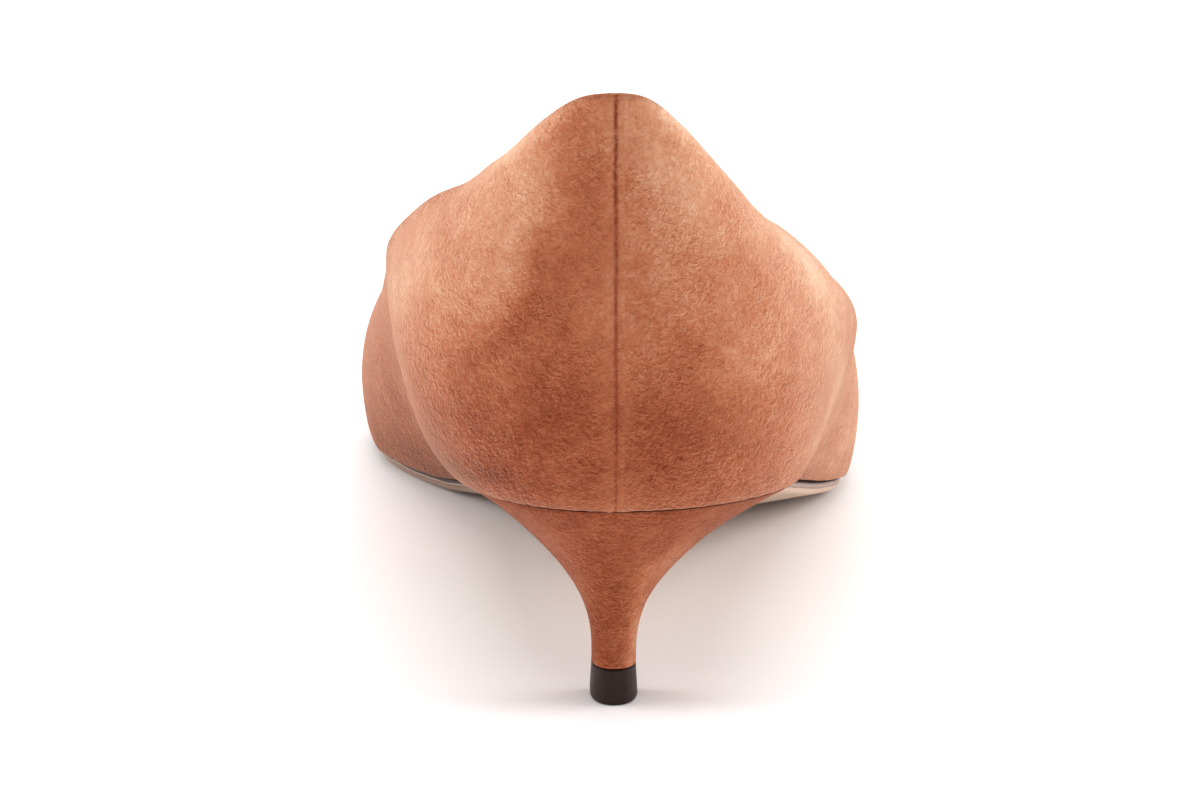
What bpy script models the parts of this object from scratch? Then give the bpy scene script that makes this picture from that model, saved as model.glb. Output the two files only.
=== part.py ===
"""Kitten-heel pump for the right foot, as five closed solids: upper, outsole, insole, heel and top piece.

The empty shoe stands on its forefoot and its top piece. +Y runs from the back of the heel to the toe, +X to
the outer (lateral) side of the foot and +Z up. Sizes are in millimetres, and become metres in the meshes.
"""

import math
from collections import namedtuple

import bmesh
import bpy
import numpy as np

# Driving dimensions
LENGTH = 250.0  # back of the heel to the tip of the toe
BALL_WIDTH = 81.0  # the unit for every half width below
SEAT_HEIGHT = 33.0  # floor to the edge of the heel seat, at the back
COLLAR_HEIGHT = 95.2  # floor to the collar, at the back seam
WALL = 1.6  # suede, stiffener and lining together
GAP = 0.3  # between pieces that touch
MM = 0.001

# Outsole and insole
SOLE_THICKNESS = 2.2  # under the forefoot
WAIST_THICKNESS = 2.4  # where the sole runs out under the heel
SOLE_INSET = 1.0  # how far the sole lies inside the edge of the last
SOLE_BEVEL = 1.5  # how far its lower edge is drawn in
WAIST_SWELL = 3.6  # how far its underside swells down along the middle of the waist
WAIST_SWELL_POWER = 1.5  # moves the deepest swell from the middle of the waist towards the ball
INSOLE_THICKNESS = 2.6
BREAST_STATION = 0.19  # front of the heel, as a share of the length
BALL_STATION = 0.55  # start of the flat forefoot

# Heel and top piece
TOP_PIECE_HEIGHT = 5.4
TOP_PIECE_WIDTH = 6.6
TOP_PIECE_BACK = 15.0  # from the back of the upper
TOP_PIECE_FRONT = 23.5
TOP_PIECE_CAP = 0.62  # share of its depth that is rounded
TOP_PIECE_POWER = 2.3  # superellipse power of that round
TOP_PIECE_FLARE = 0.25  # how much wider it is near the floor
TOP_PIECE_EDGE = 0.7  # round of its lower edge
HEEL_LATERAL_POWER = 2.65  # how quickly each side draws in below the seat
HEEL_MEDIAL_POWER = 2.75
HEEL_BACK_POWER = 2.2
HEEL_BREAST_POWER = 3.2

# Upper
THROAT_STATION = 0.655  # front of the opening, as a share of the length
LOWER_POWER = 1.55  # superellipse power from the edge of the sole to the widest line
UPPER_POWER = 2.1  # and from the widest line to the ridge
RIDGE_SHIFT = -2.0  # the ridge of the instep lies to the inner side
BACK_UNDERCUT = 5.0  # from the most backward point of the upper in to the heel seat
BACK_LEAN = 5.0  # and in to the collar
BACK_BULGE_LEVEL = 0.38  # height of that most backward point, as a share of the wall
BACK_POWER = 2.15  # superellipse power of the heel in plan
BACK_CAP_SEAT = 30.0  # length of the rounded back at the heel seat
BACK_CAP_COLLAR = 44.0  # and at the collar
TOE_CAP = 15.0  # length of the rounded toe in plan
TOE_PROFILE_CAP = 30.0  # and in profile
TOE_POWER = 2.0
TOE_PROFILE_POWER = 2.2
TOE_BULGE = 2.2  # how far the toe stands out past the edge of the sole
TOE_BULGE_LEVELS = 0.55  # share of the wall that the bulge takes up
TOE_BULGE_FADE = 12  # keeps the bulge at the very front
TOE_ROW_POWER = 0.8  # draws the mesh rows together at the toe

# Mesh density
LEVELS = 14
STATIONS = 40
HEEL_RINGS = 14
STRIPS = 4
EDGE_TURNS = 3  # steps round the lower edge of the top piece
EDGE_STEP = 0.001  # step along an edge to find its direction
SHARP_ANGLE = math.radians(40)
TINY = 1e-6

Section = namedtuple(
    "Section",
    "station rise feather_lateral feather_medial wide_lateral wide_medial"
    " lift_lateral lift_medial ridge_lateral ridge_medial",
)
# One row for each section of the last, from the heel to the toe. Station is a share of the length, and rise a
# share of the seat's height above the ball. Feather is the edge of the sole and wide the widest line: half
# widths, as shares of the ball width. Lift and ridge are heights above the edge of the sole, as shares of the
# collar height.
SECTIONS = [
    Section(0.00, 1.00, 0.300, 0.262, 0.375, 0.375, 0.25, 0.25, 0.80, 0.80),
    Section(0.08, 0.95, 0.330, 0.268, 0.380, 0.388, 0.24, 0.25, 0.605, 0.622),
    Section(0.14, 0.89, 0.346, 0.280, 0.405, 0.400, 0.23, 0.25, 0.505, 0.562),
    Section(0.20, 0.82, 0.362, 0.302, 0.438, 0.413, 0.23, 0.27, 0.462, 0.575),
    Section(0.28, 0.64, 0.345, 0.298, 0.466, 0.424, 0.242, 0.31, 0.43, 0.66),
    Section(0.36, 0.425, 0.332, 0.262, 0.489, 0.429, 0.255, 0.35, 0.428, 0.73),
    Section(0.43, 0.245, 0.388, 0.243, 0.492, 0.432, 0.25, 0.36, 0.49, 0.70),
    Section(0.50, 0.088, 0.462, 0.270, 0.510, 0.445, 0.18, 0.31, 0.535, 0.63),
    Section(0.55, 0.014, 0.500, 0.350, 0.525, 0.461, 0.13, 0.25, 0.53, 0.577),
    Section(0.59, 0.00, 0.508, 0.418, 0.530, 0.475, 0.10, 0.185, 0.505, 0.53),
    Section(0.63, 0.00, 0.494, 0.466, 0.517, 0.489, 0.10, 0.135, 0.49, 0.49),
    Section(0.68, 0.00, 0.455, 0.480, 0.480, 0.500, 0.10, 0.10, 0.448, 0.448),
    Section(0.73, 0.015, 0.400, 0.444, 0.428, 0.469, 0.10, 0.10, 0.41, 0.41),
    Section(0.80, 0.045, 0.315, 0.357, 0.345, 0.386, 0.10, 0.10, 0.355, 0.355),
    Section(0.88, 0.09, 0.215, 0.245, 0.248, 0.275, 0.095, 0.095, 0.29, 0.29),
    Section(0.95, 0.135, 0.138, 0.148, 0.168, 0.176, 0.085, 0.085, 0.235, 0.235),
    Section(1.00, 0.17, 0.090, 0.090, 0.115, 0.115, 0.08, 0.08, 0.20, 0.20),
]

Collar = namedtuple("Collar", "station lateral medial")
# Height of the collar above the floor on each side, as shares of the collar height, from the back forward. It
# ends at the throat, whose height is worked out from the ridge.
COLLAR = [
    Collar(0.00, 1.015, 1.015),
    Collar(0.02, 1.000, 1.000),
    Collar(0.04, 0.945, 0.954),
    Collar(0.07, 0.863, 0.884),
    Collar(0.12, 0.772, 0.820),
    Collar(0.18, 0.700, 0.745),
    Collar(0.24, 0.612, 0.665),
    Collar(0.30, 0.540, 0.602),
    Collar(0.36, 0.493, 0.556),
    Collar(0.45, 0.455, 0.522),
    Collar(0.57, 0.462, 0.505),
]


def smooth_curve(xs, ys, at):
    """Values on a smooth curve through the points, with no overshoot between them."""
    xs, ys, at = np.asarray(xs, float), np.asarray(ys, float), np.asarray(at, float)
    steps = np.diff(xs)
    slopes = np.diff(ys) / steps
    before, after = slopes[:-1], slopes[1:]
    same_way = before * after > 0
    weight_before = 2 * steps[1:] + steps[:-1]
    weight_after = steps[1:] + 2 * steps[:-1]
    sum_before = weight_before / np.where(same_way, before, 1.0)
    sum_after = weight_after / np.where(same_way, after, 1.0)
    mean = (weight_before + weight_after) / np.where(same_way, sum_before + sum_after, 1.0)
    inner = np.where(same_way, mean, 0.0)
    tangents = np.concatenate([slopes[:1], inner, slopes[-1:]])
    row = np.clip(np.searchsorted(xs, at) - 1, 0, len(xs) - 2)
    share = np.clip((at - xs[row]) / steps[row], 0.0, 1.0)
    square, cube = share**2, share**3
    return (
        ys[row] * (2 * cube - 3 * square + 1)
        + ys[row + 1] * (3 * square - 2 * cube)
        + tangents[row] * steps[row] * (cube - 2 * square + share)
        + tangents[row + 1] * steps[row] * (cube - square)
    )


def column(table, name, y):
    """One column of a table at distances y from the back of the heel."""
    stations = [row.station for row in table]
    return smooth_curve(stations, [getattr(row, name) for row in table], np.asarray(y) / LENGTH)


def cap(distance, length, power):
    """A rounded end: 0 at the end, 1 once the distance from it passes the length."""
    left = np.clip(1 - distance / length, 0.0, 1.0)
    return (1 - left**power) ** (1 / power)


def side_name(side):
    """Sides are 1 for lateral and -1 for medial."""
    return "lateral" if side > 0 else "medial"


def edge_height(y):
    """Height of the edge of the last above the floor: heel seat, arch, flat ball and toe spring."""
    ball = SOLE_THICKNESS + GAP
    return ball + (SEAT_HEIGHT - ball) * column(SECTIONS, "rise", y)


def section_sizes(y, side):
    """Places x and z of the edge, the widest line and the ridge of the section at y, on one side."""
    name = side_name(side)
    toe = cap(LENGTH - y, TOE_CAP, TOE_POWER)
    profile = cap(LENGTH - y, TOE_PROFILE_CAP, TOE_PROFILE_POWER)
    edge_x = side * BALL_WIDTH * column(SECTIONS, "feather_" + name, y) * toe
    edge_z = edge_height(y)
    wide_x = side * BALL_WIDTH * column(SECTIONS, "wide_" + name, y) * toe
    wide_z = edge_z + COLLAR_HEIGHT * column(SECTIONS, "lift_" + name, y) * profile
    ridge_x = RIDGE_SHIFT * cap(LENGTH - y, LENGTH / 2, TOE_POWER)
    ridge_z = edge_z + COLLAR_HEIGHT * column(SECTIONS, "ridge_" + name, y) * profile
    return edge_x, edge_z, wide_x, wide_z, ridge_x, ridge_z


def lower_share(edge_x, edge_z, wide_x, wide_z, ridge_x, ridge_z):
    """Share of the girth that lies below the widest line."""
    lower = np.hypot(wide_x - edge_x, wide_z - edge_z)
    upper = np.hypot(wide_x - ridge_x, ridge_z - wide_z)
    return lower / np.maximum(lower + upper, TINY)


def section_point(y, girth, side):
    """x and z on the section at y, where girth runs from 0 at the edge of the sole to 1 at the ridge."""
    edge_x, edge_z, wide_x, wide_z, ridge_x, ridge_z = sizes = section_sizes(y, side)
    split = lower_share(*sizes)
    low = np.clip(girth / np.maximum(split, TINY), 0, 1) * math.pi / 2
    high = np.clip((girth - split) / np.maximum(1 - split, TINY), 0, 1) * math.pi / 2
    low_x = edge_x + (wide_x - edge_x) * np.sin(low) ** (2 / LOWER_POWER)
    low_z = wide_z - (wide_z - edge_z) * np.clip(np.cos(low), 0, 1) ** (2 / LOWER_POWER)
    high_x = ridge_x + (wide_x - ridge_x) * np.clip(np.cos(high), 0, 1) ** (2 / UPPER_POWER)
    high_z = wide_z + (ridge_z - wide_z) * np.sin(high) ** (2 / UPPER_POWER)
    below = girth < split
    return np.where(below, low_x, high_x), np.where(below, low_z, high_z)


def collar_height(y, side):
    """Height of the collar above the floor. It meets the ridge of the instep at the throat."""
    throat_z = section_sizes(np.array(THROAT_STATION * LENGTH), side)[5]
    throat = throat_z / COLLAR_HEIGHT
    return COLLAR_HEIGHT * column(COLLAR + [Collar(THROAT_STATION, throat, throat)], side_name(side), y)


def collar_girth(y, side):
    """Where the collar cuts the section at y, as a share of its girth."""
    sizes = section_sizes(y, side)
    wide_z, ridge_z = sizes[3], sizes[5]
    height = np.clip((collar_height(y, side) - wide_z) / (ridge_z - wide_z), 0.0, 1.0)
    turn = np.arcsin(height ** (UPPER_POWER / 2)) / (math.pi / 2)
    split = lower_share(*sizes)
    return split + (1 - split) * turn


def plan_room(y):
    """Room across the flattened upper, which spreads its rows: full to the ball, closed at the toe."""
    return cap(LENGTH - y, LENGTH * (1 - BALL_STATION), TOE_PROFILE_POWER)


def back_line(level):
    """Profile of the back seam: how far forward it lies at each level of the wall."""
    below = np.clip(1 - level / BACK_BULGE_LEVEL, 0, 1)
    above = np.clip((level - BACK_BULGE_LEVEL) / (1 - BACK_BULGE_LEVEL), 0, 1)
    return BACK_UNDERCUT * below**2 + BACK_LEAN * above**2


def upper_point(level, along, side):
    """Points of the upper's outer face.

    Level runs from 0 at the sole to 1 at the collar, and along from 0 at the back seam to 1 at the front,
    where the row ends at the toe for level 0 and at the throat for level 1.
    """
    level, along = np.broadcast_arrays(np.asarray(level, float), np.asarray(along, float))
    forward = (1 - np.cos(math.pi * along)) / 2
    back_y = back_line(level)
    edge_y = back_y + (LENGTH - back_y) * forward
    collar_y = back_y + (THROAT_STATION * LENGTH - back_y) * forward
    climb = level ** (1 + TOE_ROW_POWER * forward)
    y = edge_y + (collar_y - edge_y) * climb
    collar_room = plan_room(collar_y) * (1 - collar_girth(collar_y, side))
    room = (1 - climb) * plan_room(edge_y) + climb * collar_room
    girth = np.clip(1 - room / np.maximum(plan_room(y), TINY), 0.0, 1.0)
    girth = np.where(level <= 0, 0.0, girth)
    x, z = section_point(y, girth, side)
    back_length = BACK_CAP_SEAT + (BACK_CAP_COLLAR - BACK_CAP_SEAT) * level
    x = x * cap(y - back_y, back_length, BACK_POWER)
    bulge = np.sin(math.pi * np.clip(level / TOE_BULGE_LEVELS, 0, 1)) * forward**TOE_BULGE_FADE
    return np.stack([x, y + TOE_BULGE * bulge, z], axis=-1)


def upper_row(level):
    """One closed row of the upper: back seam, lateral side, front, medial side."""
    along = np.linspace(0, 1, STATIONS + 1)
    lateral = upper_point(level, along, 1)
    medial = upper_point(level, along[1:-1], -1)
    return np.concatenate([lateral, medial[::-1]])


def along_at(y):
    """The station along the sole's edge that lies at distance y from the back."""
    share = (y - BACK_UNDERCUT) / (LENGTH - BACK_UNDERCUT)
    return math.acos(1 - 2 * share) / math.pi


def edge_pairs(along, margin):
    """The edge of the sole on both sides at the same stations, moved out in plan by a margin."""
    margin = np.broadcast_to(margin, along.shape)[:, None]
    pair = []
    for side in (1, -1):
        ahead = upper_point(0.0, np.clip(along + EDGE_STEP, 0, 1), side)
        behind = upper_point(0.0, np.clip(along - EDGE_STEP, 0, 1), side)
        run = ahead - behind
        outward = np.stack([run[:, 1], -run[:, 0]], axis=-1) * side
        outward /= np.linalg.norm(outward, axis=-1, keepdims=True)
        outward[along <= 0] = (0.0, -1.0)
        outward[along >= 1] = (0.0, 1.0)
        edge = upper_point(0.0, along, side)
        edge[:, :2] += margin * outward
        pair.append(edge)
    return pair


def raised(pair, amount):
    """A pair of edges moved up, or down by a negative amount."""
    lift = np.zeros_like(pair[0])
    lift[:, 2] = amount
    return [edge + lift for edge in pair]


def add_points(shape, points):
    return [shape.verts.new(tuple(point * MM)) for point in np.asarray(points)]


def bridge(shape, first, second, closed):
    """Quads between two rows of points."""
    count = len(first)
    for i in range(count if closed else count - 1):
        j = (i + 1) % count
        shape.faces.new((first[i], first[j], second[j], second[i]))


def loft_pairs(shape, rings, swell=0.0):
    """A closed body through rings given as pairs of sides, with strips across its ends and its front.

    The strips across its last end swell down along the middle.
    """
    shares = np.linspace(0, 1, STRIPS + 1)
    loops = []
    for lateral, medial in rings:
        front = [lateral[-1] + (medial[-1] - lateral[-1]) * share for share in shares[1:-1]]
        loops.append(add_points(shape, [*lateral, *front, *medial[::-1]]))
    for first, second in zip(loops, loops[1:]):
        bridge(shape, first, second, closed=True)
    for (lateral, medial), depth in ((rings[0], 0.0), (rings[-1], swell)):
        rows = []
        for share in shares:
            row = lateral + (medial - lateral) * share
            row[:, 2] -= depth * 4 * share * (1 - share)
            rows.append(add_points(shape, row))
        for first, second in zip(rows, rows[1:]):
            bridge(shape, first, second, closed=False)
    bmesh.ops.remove_doubles(shape, verts=shape.verts, dist=TINY)
    bmesh.ops.dissolve_degenerate(shape, edges=shape.edges, dist=TINY)


def make_material(name, colour, roughness):
    material = bpy.data.materials.new(name)
    material.use_nodes = True
    shader = material.node_tree.nodes["Principled BSDF"]
    shader.inputs["Base Color"].default_value = (*colour, 1.0)
    shader.inputs["Roughness"].default_value = roughness
    shader.inputs["Metallic"].default_value = 0.0
    return material


def make_object(name, shape, material, parent):
    mesh = bpy.data.meshes.new(name)
    bmesh.ops.recalc_face_normals(shape, faces=shape.faces)
    shape.to_mesh(mesh)
    shape.free()
    mesh.materials.append(material)
    mesh.shade_smooth()
    mesh.set_sharp_from_angle(angle=SHARP_ANGLE)
    thing = bpy.data.objects.new(name, mesh)
    bpy.context.scene.collection.objects.link(thing)
    thing.parent = parent
    return thing


def make_upper(material, parent):
    """One wall from the edge of the sole to the collar, over the toes and round the heel."""
    shape = bmesh.new()
    rows = [add_points(shape, upper_row(level)) for level in np.linspace(0, 1, LEVELS + 1)]
    for low, high in zip(rows, rows[1:]):
        bridge(shape, low, high, closed=True)
    upper = make_object("upper", shape, material, parent)
    wall = upper.modifiers.new("wall", "SOLIDIFY")
    wall.thickness = WALL * MM
    wall.offset = -1.0
    return upper


def make_outsole(material, parent):
    """A thin sole from the front of the heel to the toe, drawn in along its lower edge."""
    along = np.linspace(1.0, along_at(BREAST_STATION * LENGTH + GAP), STATIONS + 1)
    station = upper_point(0.0, along, 1)[:, 1] / LENGTH
    to_ball = np.clip((station - station[-1]) / (BALL_STATION - station[-1]), 0, 1)
    thickness = WAIST_THICKNESS + (SOLE_THICKNESS - WAIST_THICKNESS) * to_ball
    top = raised(edge_pairs(along, -SOLE_INSET), -GAP)
    bottom = raised(edge_pairs(along, -SOLE_INSET - SOLE_BEVEL), -GAP - thickness)
    shape = bmesh.new()
    loft_pairs(shape, [top, bottom], swell=WAIST_SWELL * np.sin(math.pi * to_ball**WAIST_SWELL_POWER))
    return make_object("outsole", shape, material, parent)


def make_insole(material, parent):
    """The footbed, inside the wall and on top of the sole and the heel."""
    bottom = edge_pairs(np.linspace(0, 1, STATIONS + 1), -WALL - GAP)
    shape = bmesh.new()
    loft_pairs(shape, [raised(bottom, INSOLE_THICKNESS), bottom])
    return make_object("insole", shape, material, parent)


def top_piece_outline(height, margin):
    """The small D of the top piece, as a pair of sides from its back to its flat front."""
    back = TOP_PIECE_BACK - margin
    depth = TOP_PIECE_FRONT + margin - back
    turn = np.linspace(0, math.pi / 2, STATIONS // 2 + 1)
    from_back = depth * (1 - np.cos(turn))
    width = (TOP_PIECE_WIDTH / 2 + margin) * cap(from_back, TOP_PIECE_CAP * depth, TOP_PIECE_POWER)
    level = np.full_like(width, height)
    return [np.stack([side * width, back + from_back, level], axis=-1) for side in (1, -1)]


def make_heel(material, parent):
    """The heel draws in from the heel seat to the top piece, most quickly at its sides and front."""
    along = np.linspace(0, along_at(BREAST_STATION * LENGTH), STATIONS // 2 + 1)
    seat = raised(edge_pairs(along, 0.0), -GAP)
    foot = top_piece_outline(TOP_PIECE_HEIGHT + GAP, 0.0)
    side_powers = (HEEL_LATERAL_POWER, HEEL_MEDIAL_POWER)
    rings = []
    for left in np.linspace(1, 0, HEEL_RINGS + 1):
        ring = []
        for top, bottom, side_power in zip(seat, foot, side_powers):
            to_front = (top[:, 1] - top[0, 1]) / (top[-1, 1] - top[0, 1])
            run_power = HEEL_BACK_POWER + (HEEL_BREAST_POWER - HEEL_BACK_POWER) * to_front
            keep = np.stack([left ** np.full_like(run_power, side_power), left**run_power], axis=-1)
            keep = np.concatenate([keep, np.full((len(keep), 1), left)], axis=-1)
            ring.append(bottom + (top - bottom) * keep)
        rings.append(ring)
    shape = bmesh.new()
    loft_pairs(shape, rings)
    return make_object("heel", shape, material, parent)


def make_top_piece(material, parent):
    """The hard tip under the heel, a little wider near the floor and rounded along its lower edge."""
    rings = [top_piece_outline(TOP_PIECE_HEIGHT, 0.0)]
    for turn in np.linspace(0, math.pi / 2, EDGE_TURNS + 1):
        height = TOP_PIECE_EDGE * (1 - math.sin(turn))
        margin = TOP_PIECE_FLARE - TOP_PIECE_EDGE * (1 - math.cos(turn))
        rings.append(top_piece_outline(height, margin))
    shape = bmesh.new()
    loft_pairs(shape, rings)
    return make_object("top_piece", shape, material, parent)


def stand_on_origin(root, things):
    """Moves the shoe so that the middle of its bounding box stands over the origin, on the floor."""
    points = np.array([vertex.co[:] for thing in things for vertex in thing.data.vertices])
    low, high = points.min(axis=0), points.max(axis=0)
    middle = (low + high) / 2
    root.location = (-middle[0], -middle[1], -low[2])


def main():
    for thing in list(bpy.data.objects):
        bpy.data.objects.remove(thing)
    root = bpy.data.objects.new("pump", None)
    bpy.context.scene.collection.objects.link(root)
    suede = make_material("suede", (0.48, 0.17, 0.085), 0.9)
    heel_suede = make_material("heel_suede", (0.40, 0.12, 0.055), 0.9)
    sole_leather = make_material("sole_leather", (0.68, 0.48, 0.36), 0.5)
    sock_leather = make_material("sock_leather", (0.66, 0.50, 0.38), 0.55)
    tip_rubber = make_material("tip_rubber", (0.035, 0.020, 0.017), 0.4)
    things = [
        make_upper(suede, root),
        make_outsole(sole_leather, root),
        make_insole(sock_leather, root),
        make_heel(heel_suede, root),
        make_top_piece(tip_rubber, root),
    ]
    stand_on_origin(root, things)


main()
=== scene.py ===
"""Looks of the suede pump: fine surfaces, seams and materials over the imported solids, with light and camera.

Shapes are worked out in millimetres from the back of the heel. +X points to the outer (lateral) side, +Y to
the toe and +Z up.
"""

import math
from collections import namedtuple

import bmesh
import bpy
import numpy as np
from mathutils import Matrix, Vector


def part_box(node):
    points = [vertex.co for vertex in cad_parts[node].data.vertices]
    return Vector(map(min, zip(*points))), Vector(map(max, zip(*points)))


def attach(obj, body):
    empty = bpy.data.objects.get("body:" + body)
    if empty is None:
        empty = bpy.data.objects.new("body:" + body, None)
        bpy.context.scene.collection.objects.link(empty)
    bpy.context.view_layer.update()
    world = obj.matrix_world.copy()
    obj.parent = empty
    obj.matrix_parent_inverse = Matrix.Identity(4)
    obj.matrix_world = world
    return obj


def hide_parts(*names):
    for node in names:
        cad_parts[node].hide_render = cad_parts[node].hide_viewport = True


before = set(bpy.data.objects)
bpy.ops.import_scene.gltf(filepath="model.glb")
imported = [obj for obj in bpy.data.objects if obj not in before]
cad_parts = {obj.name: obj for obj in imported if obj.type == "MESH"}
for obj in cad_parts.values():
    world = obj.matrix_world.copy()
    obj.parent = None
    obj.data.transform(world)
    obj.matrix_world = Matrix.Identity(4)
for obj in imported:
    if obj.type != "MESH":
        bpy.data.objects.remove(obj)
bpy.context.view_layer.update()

MM = 0.001

# Sizes of the shoe, as in its solids
LENGTH = 250.0
BALL_WIDTH = 81.0
SEAT_HEIGHT = 33.0
COLLAR_HEIGHT = 95.2
WALL = 1.6
GAP = 0.3
SOLE_THICKNESS = 2.2
WAIST_THICKNESS = 2.4
SOLE_INSET = 1.0
SOLE_BEVEL = 1.5
WAIST_SWELL = 3.6
WAIST_SWELL_POWER = 1.5
INSOLE_THICKNESS = 2.6
SOCK_CROWN = 0.8
BREAST_STATION = 0.19
BALL_STATION = 0.55
TOP_PIECE_HEIGHT = 5.4
TOP_PIECE_WIDTH = 6.6
TOP_PIECE_BACK = 15.0
TOP_PIECE_FRONT = 23.5
TOP_PIECE_CAP = 0.62
TOP_PIECE_POWER = 2.3
TOP_PIECE_FLARE = 0.25
TOP_PIECE_EDGE = 0.7
HEEL_LATERAL_POWER = 2.65
HEEL_MEDIAL_POWER = 2.75
HEEL_BACK_POWER = 2.2
HEEL_BREAST_POWER = 3.2
THROAT_STATION = 0.655
LOWER_POWER = 1.55
UPPER_POWER = 2.1
RIDGE_SHIFT = -2.0
BACK_UNDERCUT = 5.0
BACK_LEAN = 5.0
BACK_BULGE_LEVEL = 0.38
BACK_POWER = 2.15
BACK_CAP_SEAT = 30.0
BACK_CAP_COLLAR = 44.0
TOE_CAP = 15.0
TOE_PROFILE_CAP = 30.0
TOE_POWER = 2.0
TOE_PROFILE_POWER = 2.2
TOE_BULGE = 2.2
TOE_BULGE_LEVELS = 0.55
TOE_BULGE_FADE = 12
TOE_ROW_POWER = 0.8

# Layers and edges that the solids leave out
SUEDE_SHARE = 0.62  # of the wall's thickness, the rest is lining
LINING_CLEARANCE = 0.05
LINING_DROP = 1.4  # from the folded collar edge down to the edge of the lining
SEAM_DEPTH = 0.12  # groove of the back seam
SEAM_HALF_WIDTH = 0.31
SEAM_WIDTH_AT_SEAT = 0.75  # share of that width at the seat, and its gain up to the collar
SEAM_WIDTH_GAIN = 0.45
SEAM_REACH = 15.0  # the seam lies within this distance of the back
SEAM_FAINTEST = 0.55  # strength of its line at the seat
SEAM_WANDER = 0.04  # how far the seam strays from the middle
SEAM_LONG_WAVE = 13  # stitches to each wave of its wandering
SEAM_SHORT_WAVE = 5
SEAM_SHORT_SHARE = 0.7
STITCH_PITCH = 1.7
STITCH_PINCH = 0.15  # how much the seam narrows between its stitches
ALLOWANCE_HALF_WIDTH = 1.7  # flattened seam allowance behind the suede
ALLOWANCE_POWER = 8  # how square its sides are
ALLOWANCE_RISE = 0.12
TIP_CHAMFER = 0.15  # along the upper edge of the heel's tip
WAIST_HALF_WIDTH = 24.0  # painted shade on the sole's underside deepens across it to the inner side
WAIST_SHADE = 0.8
# Paint and painted shade on the sole's edge, in thicknesses of the sole below its top
SHADE_LINE_END = (0.08, 0.14)  # the painted shade under the upper fades out between these
SHADE_LINE_INNER = 0.12  # how much lower it reaches on the inner side
PAINT_END = (0.41, 0.48)
PAINT_WAVER = 0.03
FEATHER_ROLL = 0.24  # how far the suede rolls in at its lower edge
FEATHER_ROLL_HEIGHT = 0.7
HEEL_JOINT = 0.16  # between the suede and the heel's cover, which is drawn up tight
COLLAR_SHADE = 0.5  # height of the painted shade along the folded collar
FEATHER_SHADE = 0.22  # height of the painted shade along the lower edge, and along the top of the heel's cover

# The floor, in metres
FLOOR_REACH = 3.0  # to where it starts to turn up
FLOOR_TURN = 1.0
FLOOR_BACK_DEGREES = 90
FLOOR_LOW_DEGREES = 80
FLOOR_BACK_HEIGHT = 4.0
FLOOR_STEPS = 24
FLOOR_COLOUR = (0.93, 0.93, 0.93, 1.0)
FLOOR_ROUGHNESS = 0.8

# Mesh density
FINE_STATIONS = 180
FINE_LEVELS = 130
INNER_LEVELS = 24
LINING_STATIONS = 90
LINING_LEVELS = 60
COLLAR_TURNS = 6
EDGE_ROWS = 5  # rows at the lower edge that share one slope
HEEL_STATIONS = 60
HEEL_RINGS = 60
TIP_EDGE_RINGS = 9
SOLE_STATIONS = 120
STRIPS = 12
EDGE_STEP = 0.001
SHARP_ANGLE = math.radians(40)
TINY = 1e-6
# Extra stations beside the back seam, as shares of the first step from it
SEAM_STEPS = [0.05, 0.1, 0.15, 0.2, 0.26, 0.33, 0.42, 0.54, 0.68, 0.84]

Section = namedtuple(
    "Section",
    "station rise feather_lateral feather_medial wide_lateral wide_medial"
    " lift_lateral lift_medial ridge_lateral ridge_medial",
)
SECTIONS = [
    Section(0.00, 1.00, 0.300, 0.262, 0.375, 0.375, 0.25, 0.25, 0.80, 0.80),
    Section(0.08, 0.95, 0.330, 0.268, 0.380, 0.388, 0.24, 0.25, 0.605, 0.622),
    Section(0.14, 0.89, 0.346, 0.280, 0.405, 0.400, 0.23, 0.25, 0.505, 0.562),
    Section(0.20, 0.82, 0.362, 0.302, 0.438, 0.413, 0.23, 0.27, 0.462, 0.575),
    Section(0.28, 0.64, 0.345, 0.298, 0.466, 0.424, 0.242, 0.31, 0.43, 0.66),
    Section(0.36, 0.425, 0.332, 0.262, 0.489, 0.429, 0.255, 0.35, 0.428, 0.73),
    Section(0.43, 0.245, 0.388, 0.243, 0.492, 0.432, 0.25, 0.36, 0.49, 0.70),
    Section(0.50, 0.088, 0.462, 0.270, 0.510, 0.445, 0.18, 0.31, 0.535, 0.63),
    Section(0.55, 0.014, 0.500, 0.350, 0.525, 0.461, 0.13, 0.25, 0.53, 0.577),
    Section(0.59, 0.00, 0.508, 0.418, 0.530, 0.475, 0.10, 0.185, 0.505, 0.53),
    Section(0.63, 0.00, 0.494, 0.466, 0.517, 0.489, 0.10, 0.135, 0.49, 0.49),
    Section(0.68, 0.00, 0.455, 0.480, 0.480, 0.500, 0.10, 0.10, 0.448, 0.448),
    Section(0.73, 0.015, 0.400, 0.444, 0.428, 0.469, 0.10, 0.10, 0.41, 0.41),
    Section(0.80, 0.045, 0.315, 0.357, 0.345, 0.386, 0.10, 0.10, 0.355, 0.355),
    Section(0.88, 0.09, 0.215, 0.245, 0.248, 0.275, 0.095, 0.095, 0.29, 0.29),
    Section(0.95, 0.135, 0.138, 0.148, 0.168, 0.176, 0.085, 0.085, 0.235, 0.235),
    Section(1.00, 0.17, 0.090, 0.090, 0.115, 0.115, 0.08, 0.08, 0.20, 0.20),
]

Collar = namedtuple("Collar", "station lateral medial")
COLLAR = [
    Collar(0.00, 1.015, 1.015),
    Collar(0.02, 1.000, 1.000),
    Collar(0.04, 0.945, 0.954),
    Collar(0.07, 0.863, 0.884),
    Collar(0.12, 0.772, 0.820),
    Collar(0.18, 0.700, 0.745),
    Collar(0.24, 0.612, 0.665),
    Collar(0.30, 0.540, 0.602),
    Collar(0.36, 0.493, 0.556),
    Collar(0.45, 0.455, 0.522),
    Collar(0.57, 0.462, 0.505),
]

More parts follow.
